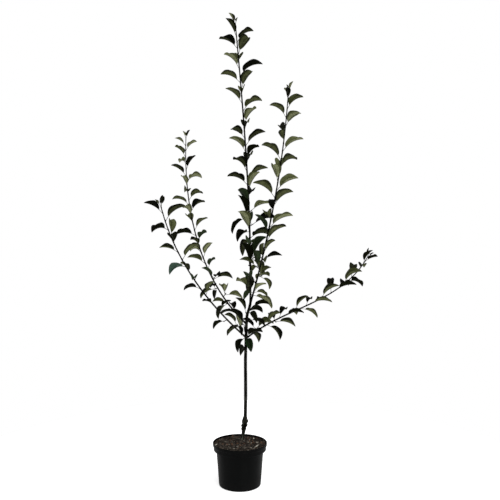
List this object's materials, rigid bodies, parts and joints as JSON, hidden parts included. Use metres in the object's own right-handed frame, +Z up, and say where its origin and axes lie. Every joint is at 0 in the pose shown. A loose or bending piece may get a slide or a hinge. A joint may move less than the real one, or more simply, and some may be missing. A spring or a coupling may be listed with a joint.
{
  "type": "dwarf apple tree in a pot",
  "caption": "Young dwarf apple tree with a slim grafted trunk, open limbs and arched leaves, standing in a tapered plastic nursery pot of compost.",
  "frame": {"origin": "centre of the pot's flat underside", "axes": "+Z up along the trunk, +Y from the tree's front to its back, +X to its right seen from the front"},
  "size_m": [1.0111, 0.5978, 1.9831],
  "materials": {
    "pot": "moulded black, slightly scuffed",
    "compost": "coarse bark and peat, matt",
    "bark": "smooth young bark, matt with a slight sheen",
    "foliage": "dark green leaves, satin above and matt grey-green below"
  },
  "bodies": {
    "root": {"pot": "pot", "compost": "compost", "trunk": "bark", "leader": "bark", "left_inner_bough": "bark", "left_outer_bough": "bark", "right_low_bough": "bark", "right_upper_bough": "bark", "leader_shoot": "foliage", "left_inner_shoot": "foliage", "left_outer_shoot": "foliage", "right_low_shoot": "foliage", "right_upper_shoot": "foliage", "leader_spur_1": "foliage", "leader_spur_2": "foliage", "leader_spur_3": "foliage", "leader_spur_4": "foliage", "leader_spur_5": "foliage", "leader_spur_6": "foliage", "leader_spur_7": "foliage", "leader_spur_8": "foliage", "leader_spur_9": "foliage", "leader_spur_10": "foliage", "leader_spur_11": "foliage", "leader_spur_12": "foliage", "left_inner_spur_1": "foliage", "left_inner_spur_2": "foliage", "left_inner_spur_3": "foliage", "left_inner_spur_4": "foliage", "left_inner_spur_5": "foliage", "left_outer_spur_1": "foliage", "left_outer_spur_2": "foliage", "left_outer_spur_3": "foliage", "left_outer_spur_4": "foliage", "right_low_spur_1": "foliage", "right_low_spur_2": "foliage", "right_low_spur_3": "foliage", "right_upper_spur_1": "foliage", "right_upper_spur_2": "foliage", "right_upper_spur_3": "foliage", "right_upper_spur_4": "foliage", "right_upper_spur_5": "foliage", "right_upper_spur_6": "foliage", "trunk_spur_1": "foliage", "trunk_spur_2": "foliage", "trunk_spur_3": "foliage", "trunk_spur_4": "foliage", "trunk_spur_5": "foliage", "trunk_spur_6": "foliage", "trunk_spur_7": "foliage", "trunk_spur_8": "foliage"}
  },
  "joints": []
}
